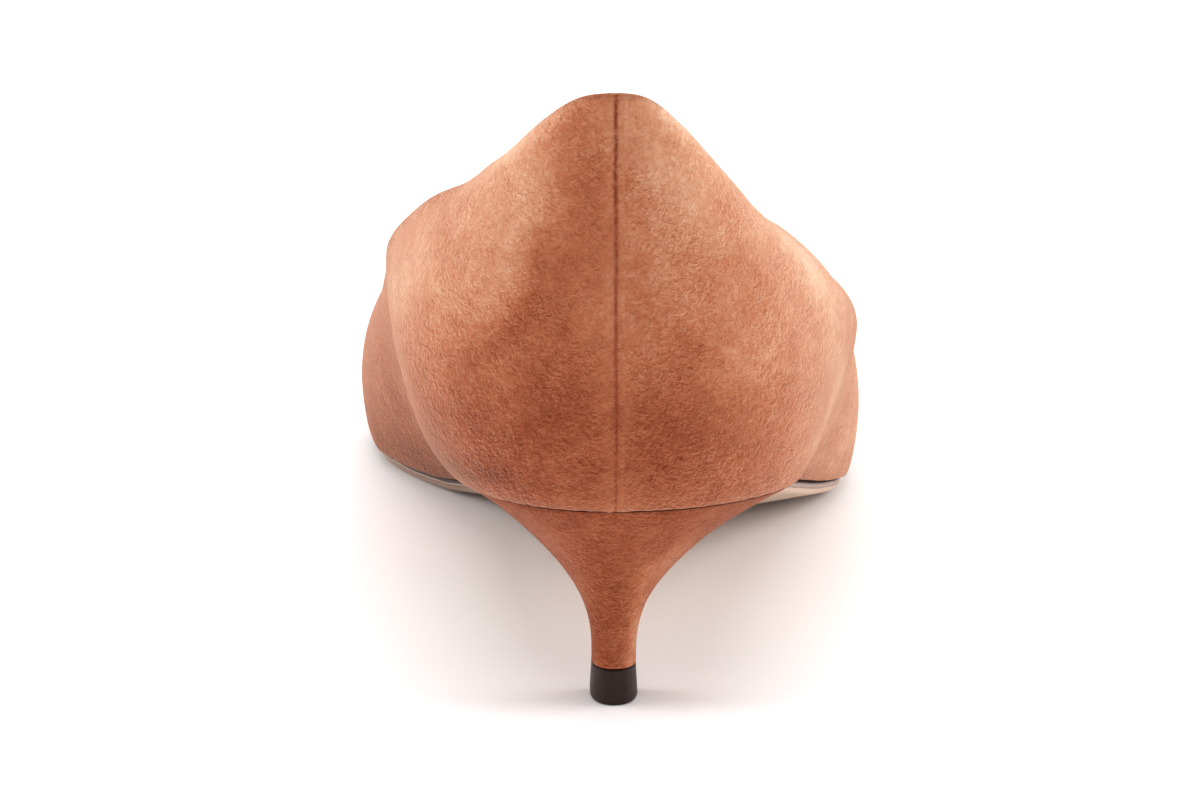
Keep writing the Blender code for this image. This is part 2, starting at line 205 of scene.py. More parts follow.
# The photo's camera in the shoe's own frame, and the shoe's middle in the photo
CAMERA_PLACE = np.array([-16.1, -970.0, 299.0])
CAMERA_YAW = -2.0
CAMERA_PITCH = 14.21
PHOTO_WIDTH, PHOTO_HEIGHT = 1200, 800
PHOTO_FOCAL = 4600.0
SHOE_PIXEL = (826.0, 411.0)
ZOOM = 1.5
SENSOR = 36.0

# Strokes of the nap as seen from behind: where it is brushed darker (tone below 0) or lighter. Many are
# painted light instead: painted shade low on the wall and on the heel, and painted highlights along the
# outlines of the quarters and the heel. Sizes in millimetres, tilt in degrees from upright, leaning to the
# outer side.
Stroke = namedtuple("Stroke", "x z length width tilt tone")
NAP_AND_LIGHT = [
    Stroke(-4.0, 86.0, 8.0, 4.0, 0, -0.30),
    Stroke(-6.0, 74.0, 10.0, 4.5, 15, -0.34),
    Stroke(-11.0, 63.0, 8.0, 5.5, 45, -0.40),
    Stroke(-8.0, 52.0, 10.0, 6.0, 0, -0.30),
    Stroke(-16.0, 46.0, 9.0, 12.0, 0, -0.44),
    Stroke(-27.0, 45.0, 9.0, 5.0, 25, -0.30),
    Stroke(-13.5, 82.0, 10.0, 6.0, 45, 0.42),
    Stroke(-20.0, 72.0, 13.0, 7.0, 40, 0.55),
    Stroke(-11.5, 70.0, 6.0, 1.6, 10, -0.30),
    Stroke(-14.5, 60.5, 4.0, 1.6, 30, -0.30),
    Stroke(-19.5, 56.5, 4.0, 1.8, 65, -0.30),
    Stroke(-15.5, 72.0, 6.0, 1.8, 15, 0.25),
    Stroke(-18.5, 63.0, 4.0, 2.0, 35, 0.25),
    Stroke(-32.0, 69.0, 9.0, 4.5, 24, 0.90),
    Stroke(-1.6, 50.0, 15.0, 0.7, 0, 0.12),
    Stroke(1.7, 64.0, 15.0, 1.0, 0, 0.12),
    Stroke(7.0, 86.0, 9.0, 5.0, -30, 0.65),
    Stroke(15.0, 76.0, 12.0, 6.0, -40, 0.45),
    Stroke(6.0, 70.0, 8.0, 3.5, -20, 0.12),
    Stroke(10.0, 57.0, 5.0, 4.0, -20, -0.30),
    Stroke(14.5, 58.0, 7.0, 1.2, -50, 0.30),
    Stroke(10.0, 43.0, 8.0, 11.0, 0, -0.40),
    Stroke(33.0, 60.0, 17.0, 4.0, -18, 0.85),
    Stroke(22.0, 58.0, 10.0, 7.0, -15, 0.36),
    # From here on mostly painted light: shade low on the wall and on the heel, highlights on the heel and
    # along the outlines
    Stroke(-12.0, 41.0, 13.0, 20.0, 0, -0.34),
    Stroke(12.0, 41.0, 13.0, 20.0, 0, -0.34),
    Stroke(27.5, 44.0, 7.0, 4.0, 41, 0.40),
    Stroke(-20.0, 38.5, 3.0, 12.0, 16, -0.80),
    Stroke(-1.5, 18.0, 9.0, 3.5, 0, -0.60),
    Stroke(3.1, 13.0, 6.0, 0.9, 8, 0.90),
    Stroke(7.5, 24.3, 6.0, 1.2, 42, 0.60),
    Stroke(33.6, 47.0, 11.0, 1.2, 23, 0.85),
    Stroke(-34.4, 57.0, 9.0, 1.5, -10, 0.70),
    Stroke(-29.8, 44.0, 9.0, 1.5, -27, 0.35),
    Stroke(25.5, 75.0, 18.0, 3.2, -44, 0.90),
    Stroke(9.5, 91.0, 7.0, 1.8, -48, 0.90),
    Stroke(-14.0, 88.5, 10.0, 1.8, 52, 0.90),
]
CHART_DEPTH = 110.0  # strokes fade out towards this distance from the back, and creases end there
STROKE_FADE_POWER = 0.5
# Broad patches of the forefoot: painted shade above the sole on its inner side, and lighter on its outer side
Patch = namedtuple("Patch", "x y z reach tone")
PATCHES = [
    Patch(-34.0, 150.0, 0.0, 15.0, -1.1),
    Patch(-28.0, 125.0, 4.0, 17.0, -1.1),
    Patch(41.0, 138.0, 18.0, 32.0, 0.55),
]
# Unplanned strokes in front, drawn at random inside a box
SOFT_STROKES = 60
SOFT_STROKE_SEED = 11
SOFT_STROKE_LOW = (-45, 70, 5)
SOFT_STROKE_HIGH = (45, 250, 80)
SOFT_STROKE_REACH = (8, 18)
SOFT_STROKE_TONE = 0.3

# Soft creases on the same chart: a trough from one point to another, with a low ridge on one side of it
Crease = namedtuple("Crease", "x z to_x to_z width depth side")
CREASES = [
    Crease(20.7, 77.6, 27.8, 62.6, 1.6, 0.35, 1),
    Crease(-22.8, 81.0, -24.6, 74.0, 1.5, 0.2, -1),
    Crease(-29.0, 75.0, -31.5, 64.0, 2.0, 0.2, -1),
]
CREASE_END = 2.0  # a crease fades past its ends over this many of its widths
CREASE_RIDGE = 2.2  # widths from the trough to the ridge
CREASE_RIDGE_WIDTH = 1.4
CREASE_RIDGE_SHARE = 0.6  # of the trough's depth

# Waves of the rolled lower edge, with their turns in radians per millimetre across and along the foot
Wave = namedtuple("Wave", "size across along")
EDGE_WAVES = [
    Wave(0.3, 2.3, 0.0),
    Wave(0.2, 5.1, 1.0),
]

# Noises of the materials, with sizes in millimetres
Noise = namedtuple("Noise", "size detail roughness distortion", defaults=(2.0, 0.5, 0.0))
SUEDE_DRIFT = Noise(6.0, detail=3.0)
SUEDE_CLUMPS = Noise(1.6, distortion=0.6)
SUEDE_FIBRES = Noise(0.55, detail=1.5, roughness=0.55, distortion=0.8)
SUEDE_SWIRLS = Noise(0.75, detail=1.0, distortion=1.0)
SUEDE_BREAKS = Noise(1.1)
SUEDE_BRUSHING = Noise(11.0)
SEAM_BREAKS = Noise(0.9)
LEATHER_CLOUDS = Noise(14.0, detail=3.0)
LEATHER_GRAIN = Noise(0.5, roughness=0.6)
PAINT_LINE = Noise(2.0)
TIP_HAZE = Noise(2.5, detail=4.0, roughness=0.6)
TIP_SCUFFS = Noise(0.5)
NOISE_LOW, NOISE_MIDDLE, NOISE_HIGH = 0.3, 0.5, 0.7  # most of a noise lies between the outer two

# How much each layer of the suede changes its tone, which runs from 0 (darkest) to 1
MIDDLE_TONE = 0.5
# of the nap, with the painted light and shade of its strokes and patches
NAP_AND_LIGHT_TONE = 0.34
DRIFT_TONE = 0.07
CLUMP_TONE = 0.06
FIBRE_TONE = 0.06
PRESS_TONE = 0.03
FLECK_TONE = 0.04
# Painted light and shade on the two sides of the fibres: how strongly, least and most, and how much less where
# pressed or brushed pale
FIBRE_LIGHT_LOW, FIBRE_LIGHT_HIGH = 0.38, 0.85
FIBRE_LIGHT_LESS = 0.4
FIBRE_LIGHT_SHIFT = (0.09, 0.05, -0.08)  # in millimetres, away from the light
# Stretches of a noise over which a layer comes in
BRUSHING_RISE = (0.4, 0.6)
FLECK_RISE = (0.45, 0.6)
SEAM_RISE = (0.36, 0.56)
FLECK_WIDTH = 0.1
SEAM_LEAST = 0.6  # strength of the seam's line where it is broken
EDGE_SHADE_SHARE = 0.4  # strength of the painted shade along the edges
CLUMP_HEIGHT = 0.7  # of the bump, beside 1 for the fibres
FLECK_HEIGHT = 0.2
CLOUD_SHARE = 0.7  # of the leather's change of tone, the rest is its grain


def smooth_curve(xs, ys, at):
    """Values on a smooth curve through the points, with no overshoot between them."""
    xs, ys, at = np.asarray(xs, float), np.asarray(ys, float), np.asarray(at, float)
    steps = np.diff(xs)
    slopes = np.diff(ys) / steps
    before, after = slopes[:-1], slopes[1:]
    same_way = before * after > 0
    weight_before = 2 * steps[1:] + steps[:-1]
    weight_after = steps[1:] + 2 * steps[:-1]
    sum_before = weight_before / np.where(same_way, before, 1.0)
    sum_after = weight_after / np.where(same_way, after, 1.0)
    mean = (weight_before + weight_after) / np.where(same_way, sum_before + sum_after, 1.0)
    inner = np.where(same_way, mean, 0.0)
    tangents = np.concatenate([slopes[:1], inner, slopes[-1:]])
    row = np.clip(np.searchsorted(xs, at) - 1, 0, len(xs) - 2)
    share = np.clip((at - xs[row]) / steps[row], 0.0, 1.0)
    square, cube = share**2, share**3
    return (
        ys[row] * (2 * cube - 3 * square + 1)
        + ys[row + 1] * (3 * square - 2 * cube)
        + tangents[row] * steps[row] * (cube - 2 * square + share)
        + tangents[row + 1] * steps[row] * (cube - square)
    )


def column(table, name, y):
    """One column of a table at distances y from the back of the heel."""
    stations = [row.station for row in table]
    return smooth_curve(stations, [getattr(row, name) for row in table], np.asarray(y) / LENGTH)


def cap(distance, length, power):
    """A rounded end: 0 at the end, 1 once the distance from it passes the length."""
    left = np.clip(1 - distance / length, 0.0, 1.0)
    return (1 - left**power) ** (1 / power)


def side_name(side):
    """Sides are 1 for lateral and -1 for medial."""
    return "lateral" if side > 0 else "medial"


def edge_height(y):
    """Height of the edge of the last above the floor: heel seat, arch, flat ball and toe spring."""
    ball = SOLE_THICKNESS + GAP
    return ball + (SEAT_HEIGHT - ball) * column(SECTIONS, "rise", y)


Sizes = namedtuple("Sizes", "edge_x edge_z wide_x wide_z ridge_x ridge_z")


def section_sizes(y, side):
    """Places x and z of the edge, the widest line and the ridge of the section at y, on one side."""
    name = side_name(side)
    toe = cap(LENGTH - y, TOE_CAP, TOE_POWER)
    profile = cap(LENGTH - y, TOE_PROFILE_CAP, TOE_PROFILE_POWER)
    edge_x = side * BALL_WIDTH * column(SECTIONS, "feather_" + name, y) * toe
    edge_z = edge_height(y)
    wide_x = side * BALL_WIDTH * column(SECTIONS, "wide_" + name, y) * toe
    wide_z = edge_z + COLLAR_HEIGHT * column(SECTIONS, "lift_" + name, y) * profile
    ridge_x = RIDGE_SHIFT * cap(LENGTH - y, LENGTH / 2, TOE_POWER)
    ridge_z = edge_z + COLLAR_HEIGHT * column(SECTIONS, "ridge_" + name, y) * profile
    return Sizes(edge_x, edge_z, wide_x, wide_z, ridge_x, ridge_z)


def lower_share(sizes):
    """Share of the girth that lies below the widest line."""
    lower = np.hypot(sizes.wide_x - sizes.edge_x, sizes.wide_z - sizes.edge_z)
    upper = np.hypot(sizes.wide_x - sizes.ridge_x, sizes.ridge_z - sizes.wide_z)
    return lower / np.maximum(lower + upper, TINY)


def section_point(y, girth, side):
    """x and z on the section at y, where girth runs from 0 at the edge of the sole to 1 at the ridge."""
    sizes = section_sizes(y, side)
    edge_x, edge_z, wide_x, wide_z, ridge_x, ridge_z = sizes
    split = lower_share(sizes)
    low = np.clip(girth / np.maximum(split, TINY), 0, 1) * math.pi / 2
    high = np.clip((girth - split) / np.maximum(1 - split, TINY), 0, 1) * math.pi / 2
    low_x = edge_x + (wide_x - edge_x) * np.sin(low) ** (2 / LOWER_POWER)
    low_z = wide_z - (wide_z - edge_z) * np.clip(np.cos(low), 0, 1) ** (2 / LOWER_POWER)
    high_x = ridge_x + (wide_x - ridge_x) * np.clip(np.cos(high), 0, 1) ** (2 / UPPER_POWER)
    high_z = wide_z + (ridge_z - wide_z) * np.sin(high) ** (2 / UPPER_POWER)
    below = girth < split
    return np.where(below, low_x, high_x), np.where(below, low_z, high_z)


def collar_height(y, side):
    """Height of the collar above the floor. It meets the ridge of the instep at the throat."""
    throat_z = section_sizes(np.array(THROAT_STATION * LENGTH), side).ridge_z
    throat = throat_z / COLLAR_HEIGHT
    return COLLAR_HEIGHT * column(COLLAR + [Collar(THROAT_STATION, throat, throat)], side_name(side), y)


def collar_girth(y, side):
    """Where the collar cuts the section at y, as a share of its girth."""
    sizes = section_sizes(y, side)
    height = (collar_height(y, side) - sizes.wide_z) / (sizes.ridge_z - sizes.wide_z)
    turn = np.arcsin(np.clip(height, 0.0, 1.0) ** (UPPER_POWER / 2)) / (math.pi / 2)
    split = lower_share(sizes)
    return split + (1 - split) * turn


def plan_room(y):
    """Room across the flattened upper, which spreads its rows: full to the ball, closed at the toe."""
    return cap(LENGTH - y, LENGTH * (1 - BALL_STATION), TOE_PROFILE_POWER)


def back_line(level):
    """Profile of the back seam: how far forward it lies at each level of the wall."""
    below = np.clip(1 - level / BACK_BULGE_LEVEL, 0, 1)
    above = np.clip((level - BACK_BULGE_LEVEL) / (1 - BACK_BULGE_LEVEL), 0, 1)
    return BACK_UNDERCUT * below**2 + BACK_LEAN * above**2


def upper_point(level, along, side):
    """Points of the upper's outer face.

    Level runs from 0 at the sole to 1 at the collar, and along from 0 at the back seam to 1 at the front,
    where the row ends at the toe for level 0 and at the throat for level 1.
    """
    level, along = np.broadcast_arrays(np.asarray(level, float), np.asarray(along, float))
    forward = (1 - np.cos(math.pi * along)) / 2
    back_y = back_line(level)
    edge_y = back_y + (LENGTH - back_y) * forward
    collar_y = back_y + (THROAT_STATION * LENGTH - back_y) * forward
    climb = level ** (1 + TOE_ROW_POWER * forward)
    y = edge_y + (collar_y - edge_y) * climb
    collar_room = plan_room(collar_y) * (1 - collar_girth(collar_y, side))
    room = (1 - climb) * plan_room(edge_y) + climb * collar_room
    girth = np.clip(1 - room / np.maximum(plan_room(y), TINY), 0.0, 1.0)
    girth = np.where(level <= 0, 0.0, girth)
    x, z = section_point(y, girth, side)
    back_length = BACK_CAP_SEAT + (BACK_CAP_COLLAR - BACK_CAP_SEAT) * level
    x = x * cap(y - back_y, back_length, BACK_POWER)
    bulge = np.sin(math.pi * np.clip(level / TOE_BULGE_LEVELS, 0, 1)) * forward**TOE_BULGE_FADE
    return np.stack([x, y + TOE_BULGE * bulge, z], axis=-1)


def along_at(y):
    """The station along the sole's edge that lies at distance y from the back."""
    share = (y - BACK_UNDERCUT) / (LENGTH - BACK_UNDERCUT)
    return math.acos(1 - 2 * share) / math.pi


def edge_pairs(along, margin):
    """The edge of the sole on both sides at the same stations, moved out in plan by a margin."""
    margin = np.broadcast_to(margin, along.shape)[:, None]
    pair = []
    for side in (1, -1):
        ahead = upper_point(0.0, np.clip(along + EDGE_STEP, 0, 1), side)
        behind = upper_point(0.0, np.clip(along - EDGE_STEP, 0, 1), side)
        run = ahead - behind
        outward = np.stack([run[:, 1], -run[:, 0]], axis=-1) * side
        outward /= np.linalg.norm(outward, axis=-1, keepdims=True)
        outward[along <= 0] = (0.0, -1.0)
        outward[along >= 1] = (0.0, 1.0)
        edge = upper_point(0.0, along, side)
        edge[:, :2] += margin * outward
        pair.append(edge)
    return pair


def raised(pair, amount):
    """A pair of edges moved up, or down by a negative amount."""
    amount = np.broadcast_to(amount, pair[0].shape[:1])
    lift = np.stack([np.zeros_like(amount), np.zeros_like(amount), amount], axis=-1)
    return [edge + lift for edge in pair]


# Where the back of the heel lies in the frame, found from the top piece, which is centred across it
tip_low, tip_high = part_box("top_piece")
SHOE_ORIGIN = np.array([
    (tip_low.x + tip_high.x) / 2,
    tip_low.y - (TOP_PIECE_BACK - TOP_PIECE_FLARE) * MM,
    0.0,
])


def to_world(points):
    """Points in the frame, in metres."""
    return np.asarray(points) * MM + SHOE_ORIGIN


def make_piece(name, mesh, material, slot, *nodes):
    """A piece of the shoe that rides on its body and stands for the given solids."""
    mesh.materials.append(material)
    mesh.shade_smooth()
    mesh.set_sharp_from_angle(angle=SHARP_ANGLE)
    piece = bpy.data.objects.new(name, mesh)
    bpy.context.scene.collection.objects.link(piece)
    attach(piece, "root")
    if nodes:
        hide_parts(*nodes)


def add_attribute(mesh, name, values):
    attribute = mesh.attributes.new(name, "FLOAT", "POINT")
    attribute.data.foreach_set("value", np.asarray(values, np.float32).ravel())


def shoe_points(mesh):
    """The mesh's points in millimetres from the back of the heel."""
    points = np.empty(len(mesh.vertices) * 3, np.float32)
    mesh.vertices.foreach_get("co", points)
    return (points.reshape(-1, 3).astype(float) - SHOE_ORIGIN) / MM


def ring_mesh(name, rows):
    """A closed skin through rows of points that wrap both ways, like a tube's wall with its rims."""
    count, width = rows.shape[:2]
    index = np.arange(count * width).reshape(count, width)
    right = np.roll(index, -1, axis=1)
    up = np.roll(index, -1, axis=0)
    corner = np.roll(right, -1, axis=0)
    faces = np.stack([index, right, corner, up], axis=-1).reshape(-1, 4)
    mesh = bpy.data.meshes.new(name)
    mesh.from_pydata(to_world(rows.reshape(-1, 3)).tolist(), [], faces.tolist())
    return mesh


def bridge(shape, first, second, closed):
    """Quads between two rows of points."""
    count = len(first)
    for i in range(count if closed else count - 1):
        j = (i + 1) % count
        shape.faces.new((first[i], first[j], second[j], second[i]))


def add_points(shape, points):
    return [shape.verts.new(tuple(point)) for point in to_world(points)]


def loft_mesh(name, rings, crown=0.0, swell=0.0):
    """A closed body through rings given as pairs of sides, with strips across its ends and its front.

    Along its middle the first end is crowned, and the last one swells down.
    """
    shares = np.linspace(0, 1, STRIPS + 1)
    shape = bmesh.new()
    loops = []
    for lateral, medial in rings:
        front = [lateral[-1] + (medial[-1] - lateral[-1]) * share for share in shares[1:-1]]
        loops.append(add_points(shape, [*lateral, *front, *medial[::-1]]))
    for first, second in zip(loops, loops[1:]):
        bridge(shape, first, second, closed=True)
    for (lateral, medial), rise in ((rings[0], crown), (rings[-1], -swell)):
        rows = []
        for share in shares:
            row = lateral + (medial - lateral) * share
            row[:, 2] += rise * 4 * share * (1 - share)
            rows.append(add_points(shape, row))
        for first, second in zip(rows, rows[1:]):
            bridge(shape, first, second, closed=False)
    bmesh.ops.remove_doubles(shape, verts=shape.verts, dist=TINY)
    bmesh.ops.dissolve_degenerate(shape, edges=shape.edges, dist=TINY)
    bmesh.ops.recalc_face_normals(shape, faces=shape.faces)
    mesh = bpy.data.meshes.new(name)
    shape.to_mesh(mesh)
    shape.free()
    return mesh


def seam_stations(count):
    """Stations along the upper, closer together beside the back seam."""
    even = np.linspace(0, 1, count + 1)
    near = even[1] * np.array(SEAM_STEPS)
    return np.concatenate([even[:1], near, even[1:]])


def height_on_wall(grid):
    """Distance of each point from the lower edge, measured up its column."""
    steps = np.linalg.norm(np.diff(grid, axis=0), axis=-1)
    return np.concatenate([np.zeros((1, grid.shape[1])), np.cumsum(steps, axis=0)])


def wall_grid(levels, along, drop=0.0):
    """The upper's outer face as a grid that closes round the shoe and stops a drop below the collar."""
    faces = []
    for side in (1, -1):
        reach = height_on_wall(upper_point(levels[:, None], along[None, :], side))[-1]
        share = 1 - drop / np.maximum(reach, TINY)
        faces.append(upper_point(levels[:, None] * share, along[None, :], side))
    lateral, medial = faces
    return np.concatenate([lateral, medial[:, -2:0:-1]], axis=1)


def grid_normals(grid):
    """Outward unit normals of a grid whose rows close round the shoe."""
    run = np.roll(grid, -1, axis=1) - np.roll(grid, 1, axis=1)
    rise = np.gradient(grid, axis=0)
    rise[:EDGE_ROWS] = grid[EDGE_ROWS] - grid[0]
    normals = np.cross(run, rise)
    return normals / np.linalg.norm(normals, axis=-1, keepdims=True)


def bell(distance, reach):
    """1 at no distance, falling softly to 0 beyond the reach."""
    return np.exp(-((distance / reach) ** 2))


def on_chart(points):
    """Where points lie on the charts of nap, painted light and creases: across and up, as seen from behind and
    above.
    """
    x, y, z = points[..., 0], points[..., 1], points[..., 2]
    return x, z + math.tan(math.radians(CAMERA_PITCH)) * (y - BACK_LEAN)


def up_the_seam(grid):
    """0 at the heel seat, 1 at the collar."""
    return np.clip((grid[..., 2] - SEAT_HEIGHT) / (COLLAR_HEIGHT - SEAT_HEIGHT), 0, 1)


def seam_share(grid):
    """1 in the back seam, falling to 0 beside it. It wanders a little and narrows between its stitches."""
    x, y, z = grid[..., 0], grid[..., 1], grid[..., 2]
    turns = 2 * math.pi * z / STITCH_PITCH
    wave = np.sin(turns / SEAM_LONG_WAVE) + SEAM_SHORT_SHARE * np.sin(turns / SEAM_SHORT_WAVE)
    width = SEAM_HALF_WIDTH * (SEAM_WIDTH_AT_SEAT + SEAM_WIDTH_GAIN * up_the_seam(grid))
    return (y < SEAM_REACH) * bell(x - SEAM_WANDER * wave, width * (1 + STITCH_PINCH * np.sin(turns)))


def seam_strength(grid):
    """The seam's line is darkest near the collar and faint near the heel."""
    return SEAM_FAINTEST + (1 - SEAM_FAINTEST) * up_the_seam(grid)


def crease_lift(points):
    """How far the soft creases sink or swell the wall."""
    across, up = on_chart(points)
    lift = np.zeros_like(across)
    for crease in CREASES:
        run = np.array([crease.to_x - crease.x, crease.to_z - crease.z])
        length = np.linalg.norm(run)
        run /= length
        along = (across - crease.x) * run[0] + (up - crease.z) * run[1]
        beside = (across - crease.x) * -run[1] + (up - crease.z) * run[0]
        past_end = np.clip(np.abs(along - length / 2) - length / 2, 0, None)
        from_ridge = beside - crease.side * CREASE_RIDGE * crease.width
        ridge = bell(from_ridge, CREASE_RIDGE_WIDTH * crease.width)
        form = CREASE_RIDGE_SHARE * ridge - bell(beside, crease.width)
        lift += crease.depth * bell(past_end, CREASE_END * crease.width) * form
    return lift * (points[..., 1] < CHART_DEPTH)


def nap_and_light_tone(points):
    """Nap tone with painted light and shade: charted strokes behind, forefoot patches and soft strokes in
    front.
    """
    x, z = on_chart(points)
    tone = np.zeros_like(x)
    fade = np.clip(1 - points[..., 1] / CHART_DEPTH, 0, 1) ** STROKE_FADE_POWER
    for stroke in NAP_AND_LIGHT:
        tilt = math.radians(stroke.tilt)
        up = (x - stroke.x) * math.sin(tilt) + (z - stroke.z) * math.cos(tilt)
        across = (x - stroke.x) * math.cos(tilt) - (z - stroke.z) * math.sin(tilt)
        tone += stroke.tone * fade * bell(up, stroke.length) * bell(across, stroke.width)
    # Painted shade on the forefoot's inner side, and a lighter patch on its outer side
    for patch in PATCHES:
        distance = np.linalg.norm(points - (patch.x, patch.y, patch.z), axis=-1)
        tone += patch.tone * bell(distance, patch.reach)
    draw = np.random.default_rng(SOFT_STROKE_SEED)
    for _ in range(SOFT_STROKES):
        middle = draw.uniform(SOFT_STROKE_LOW, SOFT_STROKE_HIGH)
        reach = draw.uniform(*SOFT_STROKE_REACH)
        distance = np.linalg.norm(points - middle, axis=-1)
        tone += draw.uniform(-SOFT_STROKE_TONE, SOFT_STROKE_TONE) * bell(distance, reach)
    return tone


def unevenness(grid):
    """How far the lower edge is rolled in from place to place: about 1, with small waves."""
    x, y = grid[..., 0], grid[..., 1]
    return 1 + sum(wave.size * np.sin(wave.across * x + wave.along * y) for wave in EDGE_WAVES)


def folded_rows(outer, normals, depth, round_rows):
    """Rows that turn from the outer face over the collar to the inner face, as a folded edge does."""
    up = outer[-1] - outer[-2]
    up /= np.linalg.norm(up, axis=-1, keepdims=True)
    radius = depth / 2
    rows = []
    for turn in np.linspace(0, math.pi, round_rows + 2)[1:-1]:
        inward = radius * (1 - math.cos(turn))
        rows.append(outer[-1] - normals[-1] * inward + up * radius * math.sin(turn))
    return np.array(rows)


def make_suede_upper(material):
    """The suede, folded over at the collar, with its back seam, soft creases and rolled lower edge."""
    thickness = WALL * SUEDE_SHARE
    grid = wall_grid(np.linspace(0, 1, FINE_LEVELS + 1), seam_stations(FINE_STATIONS), thickness / 2)
    normals = grid_normals(grid)
    height = height_on_wall(grid)
    seam = seam_share(grid)
    from_seam = grid[..., 0] / ALLOWANCE_HALF_WIDTH
    allowance = (grid[..., 1] < SEAM_REACH) / (1 + from_seam**ALLOWANCE_POWER)
    roll = np.exp(-height / (FEATHER_ROLL_HEIGHT * unevenness(grid)))
    lift = ALLOWANCE_RISE * allowance - SEAM_DEPTH * seam - FEATHER_ROLL * roll + crease_lift(grid)
    outer = grid + normals * lift[..., None]
    fold = folded_rows(outer, normals, thickness, COLLAR_TURNS)
    pick = np.linspace(FINE_LEVELS, 0, INNER_LEVELS + 1).round().astype(int)
    inner = grid[pick] - normals[pick] * thickness
    rows = np.concatenate([outer, fold, inner])
    mesh = ring_mesh("suede_upper", rows)
    beyond = np.zeros((len(rows) - len(outer), grid.shape[1]))
    # Nap tone with painted highlights and painted shade
    add_attribute(mesh, "nap_and_light", nap_and_light_tone(rows))
    add_attribute(mesh, "press", np.concatenate([allowance, beyond]))
    add_attribute(mesh, "seam", np.concatenate([seam * seam_strength(grid), beyond]))
    # Painted shade under the folded collar and along the lower edge, kept in the fold attribute
    edges = np.maximum(np.exp(-(height[-1] - height) / COLLAR_SHADE), np.exp(-height / FEATHER_SHADE))
    add_attribute(mesh, "fold", np.concatenate([edges, beyond + 1]))
    make_piece("suede_upper", mesh, material, "suede", "upper")


def make_lining(material):
    """The lining inside the suede. Its edge lies a little below the collar. Gives its inner face."""
    along = np.linspace(0, 1, LINING_STATIONS + 1)
    grid = wall_grid(np.linspace(0, 1, LINING_LEVELS + 1), along, LINING_DROP)
    normals = grid_normals(grid)
    suede = WALL * SUEDE_SHARE + LINING_CLEARANCE
    outer = grid - normals * suede
    fold = folded_rows(outer, normals, WALL - suede, COLLAR_TURNS // 2)
    inner = grid - normals * WALL
    mesh = ring_mesh("lining", np.concatenate([outer, fold, inner[::-1]]))
    make_piece("lining", mesh, material, "sock_leather")
    return inner


def make_sock(material, wall):
    """The sock on the footbed. Its edge meets the lining all round."""
    along = np.linspace(0, 1, LINING_STATIONS + 1)
    edge = wall_grid(np.zeros(1), along)[0]
    rim = np.empty_like(edge)
    for i, low in enumerate(edge):
        heights = np.maximum.accumulate(wall[:, i, 2] - low[2])
        rim[i] = [np.interp(INSOLE_THICKNESS, heights, wall[:, i, axis]) for axis in range(3)]
    lateral = rim[: len(along)]
    medial = np.concatenate([rim[:1], rim[len(along) - 1:][::-1]])
    bottom = edge_pairs(along, -WALL - GAP)
    mesh = loft_mesh("sock", [[lateral, medial], bottom], crown=SOCK_CROWN)
    make_piece("sock", mesh, material, "sock_leather", "insole")


SoleEdge = namedtuple("SoleEdge", "inset drop")
# Profile of the sole's edge: shares of the bevel and of the thickness, from the upper down to the underside
SOLE_EDGE = [
    SoleEdge(0.25, -0.13),
    SoleEdge(0.10, 0.00),
    SoleEdge(0.00, 0.06),
    SoleEdge(0.00, 0.25),
    SoleEdge(0.03, 0.42),
    SoleEdge(0.12, 0.47),
    SoleEdge(0.30, 0.72),
    SoleEdge(0.60, 0.92),
    SoleEdge(1.00, 1.00),
]


def make_sole(material):
    """The leather sole with its painted edge and rounded underside."""
    along = np.linspace(1.0, along_at(BREAST_STATION * LENGTH + GAP), SOLE_STATIONS + 1)
    station = upper_point(0.0, along, 1)[:, 1] / LENGTH
    to_ball = np.clip((station - station[-1]) / (BALL_STATION - station[-1]), 0, 1)
    thickness = WAIST_THICKNESS + (SOLE_THICKNESS - WAIST_THICKNESS) * to_ball
    rings = []
    for edge in SOLE_EDGE:
        inset = SOLE_INSET + SOLE_BEVEL * edge.inset
        rings.append(raised(edge_pairs(along, -inset), -GAP - thickness * edge.drop))
    swell = WAIST_SWELL * np.sin(math.pi * to_ball**WAIST_SWELL_POWER)
    mesh = loft_mesh("sole", rings, swell=swell)
    points = shoe_points(mesh)
    drop = (edge_height(points[:, 1]) - GAP - points[:, 2]) / SOLE_THICKNESS
    add_attribute(mesh, "drop", drop)
    add_attribute(mesh, "inner", np.clip(-points[:, 0] / WAIST_HALF_WIDTH, 0, 1))
    make_piece("sole", mesh, material, "sole_leather", "outsole")


def top_piece_outline(height, margin, count):
    """The small D of the top piece, as a pair of sides from its back to its flat front."""
    back = TOP_PIECE_BACK - margin
    depth = TOP_PIECE_FRONT + margin - back
    turn = np.linspace(0, math.pi / 2, count + 1)
    from_back = depth * (1 - np.cos(turn))
    width = (TOP_PIECE_WIDTH / 2 + margin) * cap(from_back, TOP_PIECE_CAP * depth, TOP_PIECE_POWER)
    level = np.full_like(width, height)
    return [np.stack([side * width, back + from_back, level], axis=-1) for side in (1, -1)]


